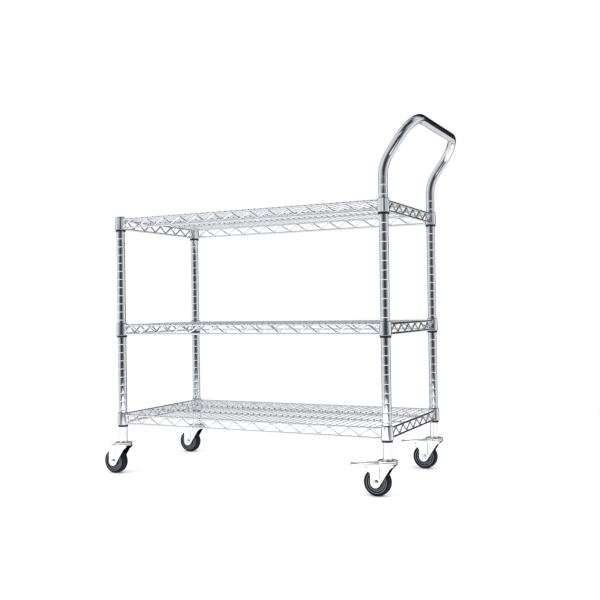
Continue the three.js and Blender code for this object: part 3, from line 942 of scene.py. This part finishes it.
def brake_pin(corner, place):
    """A rivet with a low domed head at each end."""
    face = CHEEK_OUTER + 0.3
    half = [
        (0, face + 1.5), (1.8, face + 1.4), (3.0, face + 1.0), (3.6, face + 0.4), (3.6, face),
        (BRAKE_PIN_RADIUS, face),
    ]
    skin = Skin()
    skin.revolve(mirrored(half), about_y(BRAKE_X, BRAKE_Z), 24)
    piece = to_object(f"{corner}_brake_pin_rivet", skin, place)
    finish_piece(piece, f"{corner}_swivel", "zinc", MATERIALS["zinc"], f"{corner}_brake_pin")


def pedal_height(x):
    """Height of the pedal's upper face along its length: flat, a step down, then a dished tip."""
    knots = [
        (-107, 85.0), (-104, 83.8), (-98, 83.0), (-90, 83.3),
        (-82, 84.7), (-74, 85.9), (-60, 87.9), (-32, 90.5),
    ]
    for (x0, z0), (x1, z1) in zip(knots, knots[1:]):
        if x <= x1:
            t = (x - x0) / (x1 - x0)
            return z0 + (z1 - z0) * t
    return knots[-1][1]


def pedal_half_width(x):
    """Half the pedal's width along its length: wide at the pin, a waist, then an oval tip."""
    if x > -66:
        return 14.6
    if x > -82:
        t = (x + 82) / 16
        return 12.0 + 2.6 * t - 3.0 * math.sin(math.pi * t)
    t = min(1.0, (-82 - x) / 25)
    return 12.0 * math.sqrt(max(0.0, 1 - t * t)) + 0.6


def pedal_plate(skin):
    """The foot plate as rings across its length, 2 mm thick, its tip dished with a skirt."""
    stations = [-107 + 75 * (i / 40) ** 1.4 for i in range(41)]
    rings = []
    for x in stations:
        half = pedal_half_width(x)
        dish = 1.6 if x < -78 else 0
        top = []
        for j in range(9):
            share = -1 + j / 4
            top.append((x, half * share, pedal_height(x) + dish * (share * share - 1) * 0.6))
        skirt = 4 * min(1.0, max(0.0, (-80 - x) / 5))
        under = [(px, py, pz - 2 - skirt * (py / half) ** 2) for px, py, pz in reversed(top)]
        rings.append(top + under)
    skin.rings(rings)


def brake_pedal(corner, place):
    plate_skin = Skin()
    pedal_plate(plate_skin)
    piece = to_object(f"{corner}_brake_pedal_plate", plate_skin, place)
    outline = [
        (-48, 88.2), (-49, 74.5), (-52, 72.4), (-60, 72.4), (-63, 75), (-66, 86.2), (-60, 87.0),
    ]
    for low, high in ((-14.6, -13.0), (13.0, 14.6)):
        ear = Skin()
        ear.prism(outline, low, high, xz_plane)
        combine(piece, to_object("ear", ear, place), "UNION")
    shoe = Skin()
    shoe.prism([(-59.4, 87.0), (-58.6, 64.6), (-61.2, 63.0), (-62.8, 86.6)], -11.5, 11.5, xz_plane)
    combine(piece, to_object("shoe", shoe, place), "UNION")
    bore(piece, BRAKE_PIN_RADIUS + 0.35, 25, about_y(BRAKE_X, BRAKE_Z), place)
    round_edges(piece, 0.4)
    # painted shade in the dished hollow of the pedal tip
    mark(piece, "shade", lambda p: (
        p.x < place[0] - 84 and abs(p.y - place[1]) < 9 and p.z > 80.5
    ), 0.5)
    body = f"{corner}_pedal"
    finish_piece(piece, body, "zinc", MATERIALS["zinc"], f"{corner}_brake_pedal")


def caster(corner):
    place = corner_place(corner)
    side = -1 if place[1] < 0 else 1
    braked = corner.startswith("handle")
    caster_stem(corner, place)
    fork(corner, place, braked)
    axle(corner, place, side)
    wheel_hub(corner, place)
    tyre(corner, place)
    if braked:
        brake_pin(corner, place)
        brake_pedal(corner, place)


# ---- floor, light and camera ----
def camera_axes():
    forward = Vector((
        -math.sin(CAMERA_YAW) * math.cos(CAMERA_PITCH),
        math.cos(CAMERA_YAW) * math.cos(CAMERA_PITCH),
        math.sin(CAMERA_PITCH),
    ))
    level = Vector((math.cos(CAMERA_YAW), math.sin(CAMERA_YAW), 0))
    up = level.cross(forward)
    right = level * math.cos(CAMERA_ROLL) + up * math.sin(CAMERA_ROLL)
    tall = up * math.cos(CAMERA_ROLL) - level * math.sin(CAMERA_ROLL)
    return right, tall, forward


def add_camera():
    right, tall, forward = camera_axes()
    data = bpy.data.cameras.new("camera")
    data.lens = CAMERA_LENS
    data.sensor_width = 36
    camera = bpy.data.objects.new("camera", data)
    bpy.context.scene.collection.objects.link(camera)
    turn = Matrix((right, tall, -forward)).transposed().to_4x4()
    camera.matrix_world = Matrix.Translation(CAMERA_PLACE) @ turn
    bpy.context.scene.camera = camera


def add_floor():
    """Pale paper that ends in front of the camera, so chrome also mirrors the dark studio; beyond
    the cart the paper is painted near black only where metal mirrors it, a painted dark reflection.
    """
    towards = Vector((math.sin(CAMERA_YAW), -math.cos(CAMERA_YAW), 0))
    across = Vector((math.cos(CAMERA_YAW), math.sin(CAMERA_YAW), 0))
    front_left, front_right = FLOOR_FRONT_SIDE
    back_left, back_right = FLOOR_BACK_SIDE
    corners = [
        towards * FLOOR_FRONT + across * front_left,
        towards * FLOOR_FRONT + across * front_right,
        across * back_right - towards * FLOOR_BACK,
        across * back_left - towards * FLOOR_BACK,
    ]
    mesh = bpy.data.meshes.new("floor")
    mesh.from_pydata([tuple(corner) for corner in corners], [], [(0, 1, 2, 3)])
    floor = bpy.data.objects.new("floor", mesh)
    bpy.context.scene.collection.objects.link(floor)
    shader = Shader("floor_paper")
    grain = shader.noise(3, detail=3)
    color = shader.mixed(grain, (0.90, 0.90, 0.905), (0.92, 0.92, 0.92))
    # painted dark reflection: the floor beyond the cart turns near black only in what metal mirrors
    color = shader.mixed(shader.mirrored_behind(towards), color, (0.04, 0.04, 0.05))
    rough = shader.ranged(grain, 0, 1, 0.85, 0.95)
    shader.surface.inputs["Specular IOR Level"].default_value = 0.0
    mesh.materials.append(shader.done(color, rough))


# What chrome mirrors, by elevation: (degrees round from the camera, brightness) up to each height.
# 0 is towards the camera, positive is to the right of the picture, 180 is straight behind.
SLATE = (0.90, 0.99, 1.10)
STUDIO_BANDS = (
    (-11.5, 2, (
        (-180, 0.72), (-135, 0.8), (-110, 0.95), (-70, 0.95), (-55, 0.5), (-35, 0.2), (-12, 0.05),
        (12, 0.05), (36, 0.26), (52, 0.42), (70, 0.9), (100, 0.95), (125, 0.85), (180, 0.72),
    )),
    (3, 3, (
        (-180, 0.5), (-166, 0.4), (-156, 0.04), (-144, 0.05), (-134, 0.4), (-122, 0.85),
        (-82, 0.9), (-70, 0.65), (-60, 0.5), (-50, 0.42), (-35, 0.2), (-20, 0.05), (-8, 0.035),
        (12, 0.05), (24, 0.07), (36, 0.26), (52, 0.42), (64, 0.6), (84, 0.92), (108, 0.92),
        (120, 0.6), (128, 0.03), (156, 0.03), (166, 0.4), (180, 0.5),
    )),
    (8.8, 1.5, (
        (-180, 0.5), (-166, 0.4), (-156, 0.04), (-144, 0.05), (-134, 0.4), (-122, 0.85),
        (-78, 0.9), (-62, 0.6), (-50, 0.4), (-30, 0.2), (-12, 0.05), (6, 0.04), (22, 0.16),
        (45, 0.25), (62, 0.55), (80, 0.88), (104, 0.88), (118, 0.5), (127, 0.02), (156, 0.02),
        (166, 0.4), (180, 0.5),
    )),
    (21, 4, (
        (-180, 0.4), (-160, 0.3), (-140, 0.3), (-122, 0.85), (-72, 0.9), (-56, 0.62), (-41, 0.66),
        (-30, 1.0), (-20, 0.95), (-8, 0.4), (3, 0.12), (14, 0.07), (24, 0.3), (34, 0.72),
        (56, 0.62), (72, 0.45), (86, 0.8), (104, 0.85), (118, 0.4), (127, 0.012), (158, 0.012),
        (168, 0.3), (180, 0.4),
    )),
    (62, 10, (
        (-180, 0.35), (-140, 0.6), (-104, 0.85), (-62, 0.75), (-46, 0.25), (-25, 0.04),
        (30, 0.04), (50, 0.1), (64, 0.6), (95, 0.7), (112, 0.012), (178, 0.012),
    )),
    (90, 0, (
        (-180, 0.4), (-90, 0.75), (-30, 0.4), (0, 0.08), (30, 0.08), (90, 0.3), (180, 0.3),
    )),
)


class WorldNodes:
    """Short names for the nodes of the world."""

    def __init__(self, tree):
        self.tree = tree

    def feed(self, socket, value):
        if isinstance(value, (int, float)):
            socket.default_value = value
        elif isinstance(value, tuple):
            socket.default_value = (*value, 1)
        else:
            self.tree.links.new(value, socket)

    def compute(self, operation, *values):
        node = self.tree.nodes.new("ShaderNodeMath")
        node.operation = operation
        for socket, value in zip(node.inputs, values):
            self.feed(socket, value)
        return node.outputs["Value"]

    def mix(self, factor, first, second, blend="MIX"):
        node = self.tree.nodes.new("ShaderNodeMix")
        node.data_type = "RGBA"
        node.blend_type = blend
        self.feed(node.inputs["Factor"], factor)
        self.feed(node.inputs[6], first)
        self.feed(node.inputs[7], second)
        return node.outputs[2]

    def step(self, source, middle, width):
        """0 below middle and 1 above it."""
        node = self.tree.nodes.new("ShaderNodeMapRange")
        node.interpolation_type = "SMOOTHSTEP"
        node.inputs["From Min"].default_value = middle - width / 2
        node.inputs["From Max"].default_value = middle + width / 2
        self.feed(node.inputs["Value"], source)
        return node.outputs["Result"]

    def band(self, turn, stops):
        """A ramp round the room from (degrees, brightness) pairs."""
        node = self.tree.nodes.new("ShaderNodeValToRGB")
        self.feed(node.inputs["Fac"], turn)
        elements = node.color_ramp.elements
        elements.remove(elements[-1])
        for i, (degrees, light) in enumerate(stops):
            element = elements[0] if i == 0 else elements.new((degrees + 180) / 360)
            element.position = (degrees + 180) / 360
            cast = [light * (share if light < 0.6 else 1) for share in SLATE]
            element.color = (*cast, 1)
        return node.outputs["Color"]


def studio_world():
    """White for the camera; what chrome mirrors is a room of soft boxes and dark gaps."""
    world = bpy.data.worlds.new("studio")
    bpy.context.scene.world = world
    world.use_nodes = True
    tree = world.node_tree
    tree.nodes.clear()
    nodes = WorldNodes(tree)
    direction = tree.nodes.new("ShaderNodeSeparateXYZ")
    tree.links.new(tree.nodes.new("ShaderNodeTexCoord").outputs["Generated"], direction.inputs[0])
    x, y, z = (direction.outputs[i] for i in range(3))
    sin_yaw = math.sin(CAMERA_YAW)
    cos_yaw = math.cos(CAMERA_YAW)
    nearer = nodes.compute(
        "SUBTRACT", nodes.compute("MULTIPLY", x, sin_yaw), nodes.compute("MULTIPLY", y, cos_yaw)
    )
    rightward = nodes.compute(
        "ADD", nodes.compute("MULTIPLY", x, cos_yaw), nodes.compute("MULTIPLY", y, sin_yaw)
    )
    azimuth = nodes.compute("ARCTAN2", rightward, nearer)
    turn = nodes.compute("ADD", nodes.compute("DIVIDE", azimuth, TAU), 0.5)
    elevation = nodes.compute("DEGREES", nodes.compute("ARCSINE", z))
    room = nodes.band(turn, STUDIO_BANDS[0][2])
    for (height, softness, _), (_, _, stops) in zip(STUDIO_BANDS, STUDIO_BANDS[1:]):
        room = nodes.mix(nodes.step(elevation, height, softness), room, nodes.band(turn, stops))
    path = tree.nodes.new("ShaderNodeLightPath")
    unseen = nodes.mix(path.outputs["Is Glossy Ray"], (1.3, 1.3, 1.31), room)
    seen = nodes.mix(path.outputs["Is Camera Ray"], unseen, (1.0, 1.0, 1.0))
    background = tree.nodes.new("ShaderNodeBackground")
    tree.links.new(seen, background.inputs["Color"])
    output = tree.nodes.new("ShaderNodeOutputWorld")
    tree.links.new(background.outputs["Background"], output.inputs["Surface"])


def area_light(name, place, target, size, power):
    data = bpy.data.lights.new(name, "AREA")
    data.shape = "RECTANGLE"
    data.size, data.size_y = size
    data.energy = power
    light = bpy.data.objects.new(name, data)
    bpy.context.scene.collection.objects.link(light)
    aim = Vector(target) - Vector(place)
    turn = aim.to_track_quat("-Z", "Y").to_matrix().to_4x4()
    light.matrix_world = Matrix.Translation(place) @ turn
    light.visible_glossy = False


def add_lights():
    """Two soft lamps that only lift the pale and dark plastics and the floor."""
    area_light("key_softbox", (-1.6, -2.2, 2.2), (0, 0, 0.4), (1.6, 1.2), 28)
    area_light("fill_softbox", (2.4, -0.6, 1.8), (0, 0, 0.4), (1.2, 1.2), 14)


# ---- assembly ----
for post_corner in ("toe_front", "toe_rear"):
    toe_post(post_corner)
    post_cap(post_corner)
handle_frame()
for shelf_level in LEVELS:
    shelf(shelf_level)
for caster_corner in CORNERS:
    caster(caster_corner)
add_floor()
studio_world()
add_lights()
add_camera()
bpy.context.scene.view_settings.view_transform = "Standard"
